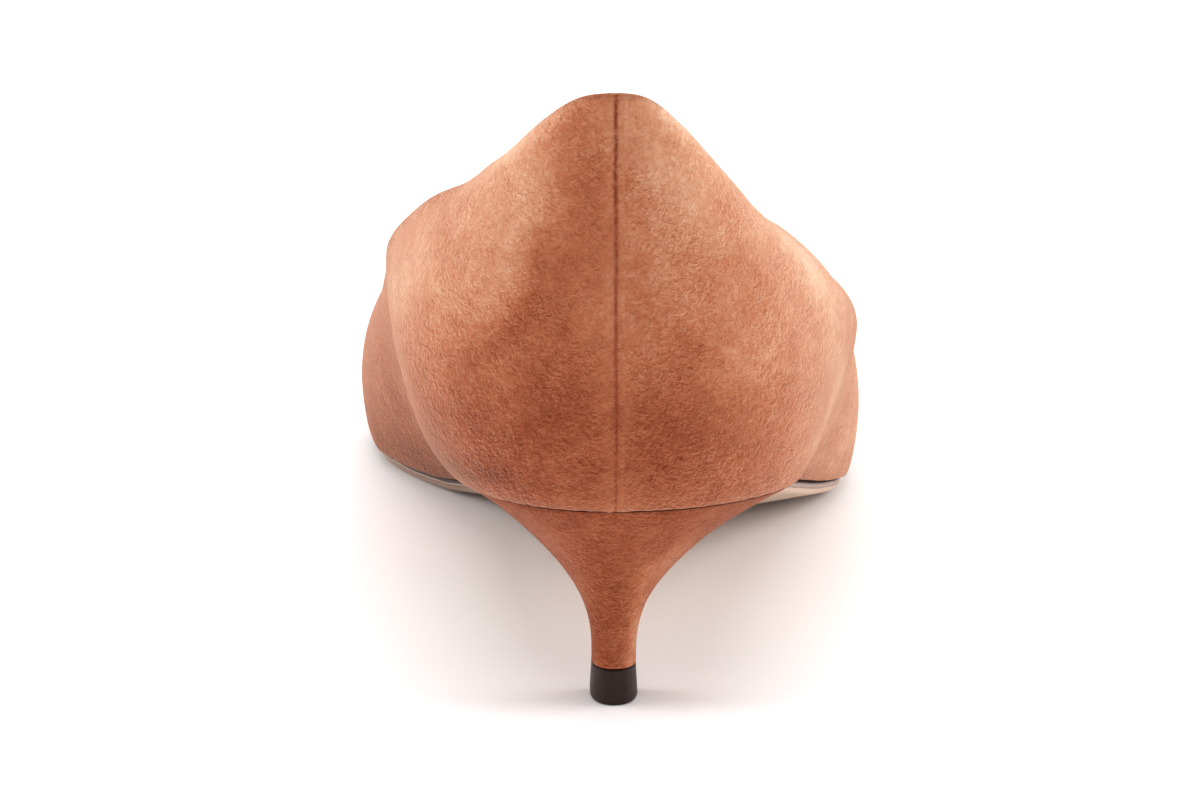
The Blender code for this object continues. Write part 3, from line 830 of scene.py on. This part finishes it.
def make_heel_cover(material):
    """The suede-covered heel, drawn in from the heel seat to the top piece."""
    along = np.linspace(0, along_at(BREAST_STATION * LENGTH), HEEL_STATIONS + 1)
    foot = top_piece_outline(TOP_PIECE_HEIGHT + GAP, 0.0, HEEL_STATIONS)
    rings = []
    for left in np.linspace(1, 0, HEEL_RINGS + 1):
        tuck = FEATHER_ROLL * math.exp(-(1 - left) * SEAT_HEIGHT / FEATHER_ROLL_HEIGHT)
        seat = raised(edge_pairs(along, -tuck), -HEEL_JOINT)
        ring = []
        for top, bottom, side_power in zip(seat, foot, (HEEL_LATERAL_POWER, HEEL_MEDIAL_POWER)):
            to_front = (top[:, 1] - top[0, 1]) / (top[-1, 1] - top[0, 1])
            run_power = HEEL_BACK_POWER + (HEEL_BREAST_POWER - HEEL_BACK_POWER) * to_front
            keep = np.stack([left ** np.full_like(run_power, side_power), left**run_power], axis=-1)
            keep = np.concatenate([keep, np.full((len(keep), 1), left)], axis=-1)
            ring.append(bottom + (top - bottom) * keep)
        rings.append(ring)
    mesh = loft_mesh("heel_cover", rings)
    points = shoe_points(mesh)
    # Nap tone with painted highlights and painted shade on the heel
    add_attribute(mesh, "nap_and_light", nap_and_light_tone(points))
    for absent in ("press", "seam"):
        add_attribute(mesh, absent, np.zeros(len(points)))
    # Painted shade along the top of the heel's cover, in the joint under the suede
    below_seat = np.clip(edge_height(points[:, 1]) - HEEL_JOINT - points[:, 2], 0, None)
    add_attribute(mesh, "fold", np.exp(-below_seat / FEATHER_SHADE))
    make_piece("heel_cover", mesh, material, "heel_suede", "heel")


def make_tip(material):
    """The hard tip under the heel, rounded along its lower edge."""
    rings = [
        top_piece_outline(TOP_PIECE_HEIGHT, -TIP_CHAMFER, HEEL_STATIONS),
        top_piece_outline(TOP_PIECE_HEIGHT - TIP_CHAMFER, 0.0, HEEL_STATIONS),
    ]
    for turn in np.linspace(0, math.pi / 2, TIP_EDGE_RINGS):
        height = TOP_PIECE_EDGE * (1 - math.sin(turn))
        margin = TOP_PIECE_FLARE - TOP_PIECE_EDGE * (1 - math.cos(turn))
        rings.append(top_piece_outline(height, margin, HEEL_STATIONS))
    mesh = loft_mesh("heel_tip", rings)
    make_piece("heel_tip", mesh, material, "tip_rubber", "top_piece")


def linear(red, green, blue):
    """A colour given in sRGB values from 0 to 255, as the shader needs it."""
    values = np.array([red, green, blue]) / 255
    curve = np.where(values <= 0.04045, values / 12.92, ((values + 0.055) / 1.055) ** 2.4)
    return (*curve.tolist(), 1.0)


class Nodes:
    """A small helper that adds and joins the nodes of one material."""

    def __init__(self, name):
        self.material = bpy.data.materials.new(name)
        self.material.use_nodes = True
        self.tree = self.material.node_tree
        self.shader = self.tree.nodes["Principled BSDF"]
        self.place = self.add("ShaderNodeTexCoord").outputs["Object"]

    def add(self, kind, **settings):
        node = self.tree.nodes.new(kind)
        for key, value in settings.items():
            setattr(node, key, value)
        return node

    def join(self, start, end):
        self.tree.links.new(start, end)

    def put(self, socket, value):
        """Joins a socket to the given output, or sets it to the given value."""
        if isinstance(value, bpy.types.NodeSocket):
            self.join(value, socket)
        else:
            socket.default_value = value

    def attribute(self, name):
        return self.add("ShaderNodeAttribute", attribute_name=name).outputs["Fac"]

    def moved(self, place, *offset_mm):
        """Coordinates moved by a small offset."""
        node = self.add("ShaderNodeVectorMath", operation="ADD")
        self.join(place, node.inputs[0])
        node.inputs[1].default_value = [value * MM for value in offset_mm]
        return node.outputs["Vector"]

    def noise(self, kind, place=None):
        """Noise whose features are about the size of its kind."""
        node = self.add("ShaderNodeTexNoise")
        self.join(place or self.place, node.inputs["Vector"])
        node.inputs["Scale"].default_value = 1 / (kind.size * MM)
        node.inputs["Detail"].default_value = kind.detail
        node.inputs["Roughness"].default_value = kind.roughness
        node.inputs["Distortion"].default_value = kind.distortion
        return node.outputs["Fac"]

    def brushed(self, lean, stretch, lengthwise):
        """Coordinates drawn out along the foot, and along a slope that falls outwards on both sides.

        One side is moved on by a metre, so that the sides don't mirror each other.
        """
        split = self.add("ShaderNodeSeparateXYZ")
        self.join(self.place, split.inputs["Vector"])
        joined = self.add("ShaderNodeCombineXYZ")
        self.join(self.math("ABSOLUTE", split.outputs["X"]), joined.inputs["X"])
        side = self.math("GREATER_THAN", split.outputs["X"], 0.0)
        self.join(self.math("ADD", split.outputs["Y"], side), joined.inputs["Y"])
        self.join(split.outputs["Z"], joined.inputs["Z"])
        turned = self.add("ShaderNodeMapping", vector_type="TEXTURE")
        self.join(joined.outputs["Vector"], turned.inputs["Vector"])
        turned.inputs["Rotation"].default_value = (0.0, math.radians(lean), 0.0)
        turned.inputs["Scale"].default_value = (stretch, lengthwise, 1.0)
        return turned.outputs["Vector"]

    def math(self, operation, first, second=0.0):
        node = self.add("ShaderNodeMath", operation=operation)
        self.put(node.inputs[0], first)
        self.put(node.inputs[1], second)
        return node.outputs["Value"]

    def total(self, first, *others):
        """The sum of all the given values."""
        for other in others:
            first = self.math("ADD", first, other)
        return first

    def fit(self, value, low, high, to_low=0.0, to_high=1.0):
        """Maps a range of values to another, held at its ends."""
        node = self.add("ShaderNodeMapRange", clamp=True)
        self.put(node.inputs["Value"], value)
        node.inputs["From Min"].default_value = low
        node.inputs["From Max"].default_value = high
        node.inputs["To Min"].default_value = to_low
        node.inputs["To Max"].default_value = to_high
        return node.outputs["Result"]

    def spread(self, noise, to_low, to_high):
        """Maps most of a noise to a range of values."""
        return self.fit(noise, NOISE_LOW, NOISE_HIGH, to_low, to_high)

    def mix(self, share, first, second):
        node = self.add("ShaderNodeMix", data_type="RGBA")
        self.put(node.inputs["Factor"], share)
        self.put(node.inputs[6], first)
        self.put(node.inputs[7], second)
        return node.outputs[2]

    def ramp(self, value, *stops):
        node = self.add("ShaderNodeValToRGB")
        self.put(node.inputs["Fac"], value)
        elements = node.color_ramp.elements
        while len(elements) < len(stops):
            elements.new(0.5)
        for element, (position, colour) in zip(elements, stops):
            element.position = position
            element.color = colour
        return node.outputs["Color"]

    def bump(self, height, depth_mm, strength):
        node = self.add("ShaderNodeBump")
        node.inputs["Strength"].default_value = strength
        node.inputs["Distance"].default_value = depth_mm * MM
        self.join(height, node.inputs["Height"])
        self.join(node.outputs["Normal"], self.shader.inputs["Normal"])


def lit_fibres(nodes, place, fibres, nap_and_light, press):
    """Painted light and shade on the two sides of the fibres, weaker where the nap lies flat."""
    strength = nodes.fit(nodes.noise(SUEDE_BRUSHING), *BRUSHING_RISE, FIBRE_LIGHT_LOW, FIBRE_LIGHT_HIGH)
    strength = nodes.math("SUBTRACT", strength, nodes.math("MULTIPLY", press, FIBRE_LIGHT_LESS))
    strength = nodes.math("SUBTRACT", strength, nodes.fit(nap_and_light, 0.0, 1.0, to_high=FIBRE_LIGHT_LESS))
    fibres_below = nodes.noise(SUEDE_FIBRES, nodes.moved(place, *FIBRE_LIGHT_SHIFT))
    return nodes.math("MULTIPLY", nodes.math("SUBTRACT", fibres, fibres_below), strength)


def light_flecks(nodes, place):
    """Thin curling lines along the middle of one noise, broken up by another."""
    swirls = nodes.math("SUBTRACT", nodes.noise(SUEDE_SWIRLS, place), NOISE_MIDDLE)
    lines = nodes.fit(nodes.math("ABSOLUTE", swirls), 0.0, FLECK_WIDTH, to_low=1.0, to_high=0.0)
    return nodes.math("MULTIPLY", lines, nodes.fit(nodes.noise(SUEDE_BREAKS, place), *FLECK_RISE))


def suede_material(name, shade, bloom):
    """Suede: a brushed nap of short fibres and light flecks, with a pale bloom at grazing angles."""
    nodes = Nodes(name)
    place = nodes.brushed(lean=40, stretch=1.25, lengthwise=2.2)
    # The nap's tone carries painted light and shade as well: highlights along the outlines, shade low on the
    # wall
    nap_and_light, press = nodes.attribute("nap_and_light"), nodes.attribute("press")
    clumps = nodes.noise(SUEDE_CLUMPS, place)
    fibres = nodes.noise(SUEDE_FIBRES, place)
    flecks = light_flecks(nodes, place)
    tone = nodes.total(
        nodes.math("MULTIPLY", nap_and_light, NAP_AND_LIGHT_TONE),
        nodes.spread(nodes.noise(SUEDE_DRIFT, place), -DRIFT_TONE, DRIFT_TONE),
        nodes.spread(clumps, -CLUMP_TONE, CLUMP_TONE),
        nodes.spread(fibres, -FIBRE_TONE, FIBRE_TONE),
        # painted light and shade on the fibres
        lit_fibres(nodes, place, fibres, nap_and_light, press),
        nodes.math("MULTIPLY", press, PRESS_TONE),
        nodes.math("MULTIPLY", flecks, FLECK_TONE),
        MIDDLE_TONE + shade,
    )
    colour = nodes.ramp(
        tone,
        (0.0, linear(108, 44, 22)),
        (0.25, linear(140, 71, 44)),
        (0.5, linear(168, 98, 67)),
        (0.75, linear(190, 132, 100)),
        (1.0, linear(212, 170, 140)),
    )
    broken = nodes.fit(nodes.noise(SEAM_BREAKS), *SEAM_RISE, to_low=SEAM_LEAST)
    seam = nodes.math("MULTIPLY", nodes.attribute("seam"), broken)
    colour = nodes.mix(seam, colour, linear(116, 42, 18))
    # Painted shade along the folded collar and the lower edges
    edge = nodes.math("MULTIPLY", nodes.attribute("fold"), EDGE_SHADE_SHARE)
    colour = nodes.mix(edge, colour, linear(104, 46, 28))
    height = nodes.total(
        fibres,
        nodes.math("MULTIPLY", clumps, CLUMP_HEIGHT),
        nodes.math("MULTIPLY", flecks, FLECK_HEIGHT),
    )
    nodes.bump(height, depth_mm=0.5, strength=0.8)
    nodes.put(nodes.shader.inputs["Base Color"], colour)
    nodes.shader.inputs["Roughness"].default_value = 0.95
    nodes.shader.inputs["Specular IOR Level"].default_value = 0.1
    nodes.shader.inputs["Sheen Weight"].default_value = bloom
    nodes.shader.inputs["Sheen Roughness"].default_value = 0.38
    nodes.shader.inputs["Sheen Tint"].default_value = linear(255, 230, 208)
    return nodes.material


def leather_nodes(name, colour, dark, roughness):
    """Nodes of a smooth fine-grained leather with a faint cloudiness, and its colour."""
    nodes = Nodes(name)
    grain = nodes.noise(LEATHER_GRAIN)
    clouds = nodes.spread(nodes.noise(LEATHER_CLOUDS), 0.0, CLOUD_SHARE)
    tone = nodes.total(clouds, nodes.spread(grain, 0.0, 1 - CLOUD_SHARE))
    satin = nodes.spread(grain, roughness - 0.06, roughness + 0.08)
    nodes.put(nodes.shader.inputs["Roughness"], satin)
    nodes.bump(grain, depth_mm=0.08, strength=0.5)
    return nodes, nodes.mix(tone, dark, colour)


def leather_material(name, colour, dark):
    nodes, shade = leather_nodes(name, colour, dark, roughness=0.5)
    nodes.put(nodes.shader.inputs["Base Color"], shade)
    return nodes.material


def sole_material():
    """Beige underside, taupe edge paint with a darker lower line, and painted shade under the upper and
    inward.
    """
    pale, dark = linear(218, 188, 168), linear(200, 168, 146)
    nodes, shade = leather_nodes("sole_leather", pale, dark, roughness=0.45)
    waver = nodes.spread(nodes.noise(PAINT_LINE), -PAINT_WAVER, PAINT_WAVER)
    drop = nodes.total(nodes.attribute("drop"), waver)
    painted = nodes.ramp(
        drop,
        (0.14, linear(150, 122, 108)),
        (0.34, linear(166, 138, 124)),
        (0.42, linear(112, 86, 74)),
    )
    inner = nodes.attribute("inner")
    # Painted shade under the upper's edge, reaching lower on the inner side
    below_line = nodes.math("SUBTRACT", drop, nodes.math("MULTIPLY", inner, SHADE_LINE_INNER))
    shade_line = nodes.fit(below_line, *SHADE_LINE_END, to_low=1.0, to_high=0.0)
    painted = nodes.mix(shade_line, painted, linear(58, 38, 32))
    # Painted shade on the underside, deepening towards the inner side
    shade = nodes.mix(nodes.math("MULTIPLY", inner, WAIST_SHADE), shade, linear(142, 108, 88))
    underside = nodes.fit(drop, *PAINT_END)
    nodes.put(nodes.shader.inputs["Base Color"], nodes.mix(underside, painted, shade))
    return nodes.material


def rubber_material():
    """Dark brown tip, satin, with fine scuffs."""
    nodes = Nodes("tip_rubber")
    colour = nodes.mix(nodes.noise(TIP_HAZE), linear(31, 18, 14), linear(48, 31, 26))
    scuffs = nodes.noise(TIP_SCUFFS)
    nodes.put(nodes.shader.inputs["Base Color"], colour)
    nodes.put(nodes.shader.inputs["Roughness"], nodes.spread(scuffs, 0.42, 0.6))
    nodes.shader.inputs["Specular IOR Level"].default_value = 0.18
    nodes.bump(scuffs, depth_mm=0.04, strength=0.3)
    return nodes.material


def floor_sweep(degrees):
    """Distances and heights where the floor turns up at its end, in metres."""
    turns = np.radians(np.linspace(0, degrees, FLOOR_STEPS))
    return [(FLOOR_REACH + FLOOR_TURN * math.sin(turn), FLOOR_TURN * (1 - math.cos(turn))) for turn in turns]


def make_floor():
    """A plain pale floor that sweeps up behind, and lower at its other sides."""
    low = floor_sweep(FLOOR_LOW_DEGREES)
    near = [(-distance, height) for distance, height in reversed(low)]
    along = [*near, *floor_sweep(FLOOR_BACK_DEGREES), (FLOOR_REACH + FLOOR_TURN, FLOOR_BACK_HEIGHT)]
    across = near + low
    points = [(x, y, z + lift) for y, z in along for x, lift in across]
    width = len(across)
    corners = [row * width + i for row in range(len(along) - 1) for i in range(width - 1)]
    faces = [(i, i + 1, i + 1 + width, i + width) for i in corners]
    mesh = bpy.data.meshes.new("floor")
    mesh.from_pydata(points, [], faces)
    mesh.shade_smooth()
    nodes = Nodes("floor")
    nodes.shader.inputs["Base Color"].default_value = FLOOR_COLOUR
    nodes.shader.inputs["Roughness"].default_value = FLOOR_ROUGHNESS
    mesh.materials.append(nodes.material)
    floor = bpy.data.objects.new("floor", mesh)
    bpy.context.scene.collection.objects.link(floor)


Lamp = namedtuple("Lamp", "name place width height power")
# Soft boxes, in metres round the shoe, each turned towards it
LAMPS = [
    Lamp("overhead", (0.0, 0.1, 1.4), 1.6, 1.6, 21.0),
    Lamp("left", (-1.1, 0.1, 0.45), 0.9, 1.1, 9.0),
    Lamp("right", (1.1, 0.1, 0.45), 0.9, 1.1, 9.6),
    Lamp("front", (0.1, -1.6, 0.9), 1.2, 0.8, 4.8),
]
LAMP_AIM = Vector((0.0, -0.08, 0.05))
WORLD_STRENGTH = 0.55


def make_lights():
    """The soft boxes, in an even white surround."""
    for lamp in LAMPS:
        data = bpy.data.lights.new(lamp.name, "AREA")
        data.shape = "RECTANGLE"
        data.size = lamp.width
        data.size_y = lamp.height
        data.energy = lamp.power
        thing = bpy.data.objects.new(lamp.name, data)
        thing.location = lamp.place
        thing.rotation_euler = (LAMP_AIM - thing.location).to_track_quat("-Z", "Y").to_euler()
        bpy.context.scene.collection.objects.link(thing)
    world = bpy.data.worlds.new("studio")
    world.use_nodes = True
    surround = world.node_tree.nodes["Background"]
    surround.inputs["Color"].default_value = (1.0, 1.0, 1.0, 1.0)
    surround.inputs["Strength"].default_value = WORLD_STRENGTH
    bpy.context.scene.world = world
    bpy.context.scene.view_settings.view_transform = "Standard"


def make_camera():
    """Stands where the photo's camera stood, turned to the shoe and zoomed in on it."""
    yaw = CAMERA_YAW + math.degrees(math.atan((SHOE_PIXEL[0] - PHOTO_WIDTH / 2) / PHOTO_FOCAL))
    pitch = CAMERA_PITCH + math.degrees(math.atan((SHOE_PIXEL[1] - PHOTO_HEIGHT / 2) / PHOTO_FOCAL))
    data = bpy.data.cameras.new("camera")
    data.sensor_width = SENSOR
    data.lens = SENSOR * PHOTO_FOCAL * ZOOM / PHOTO_WIDTH
    camera = bpy.data.objects.new("camera", data)
    camera.location = to_world(CAMERA_PLACE)
    camera.rotation_euler = (math.radians(90 - pitch), 0.0, math.radians(-yaw))
    bpy.context.scene.collection.objects.link(camera)
    bpy.context.scene.camera = camera


def main():
    make_suede_upper(suede_material("suede", shade=0.02, bloom=0.4))
    wall = make_lining(leather_material("lining", linear(206, 168, 138), linear(190, 150, 120)))
    make_sock(leather_material("sock_leather", linear(214, 180, 152), linear(200, 164, 136)), wall)
    make_sole(sole_material())
    make_heel_cover(suede_material("heel_suede", shade=-0.12, bloom=0.12))
    make_tip(rubber_material())
    make_floor()
    make_lights()
    make_camera()


main()
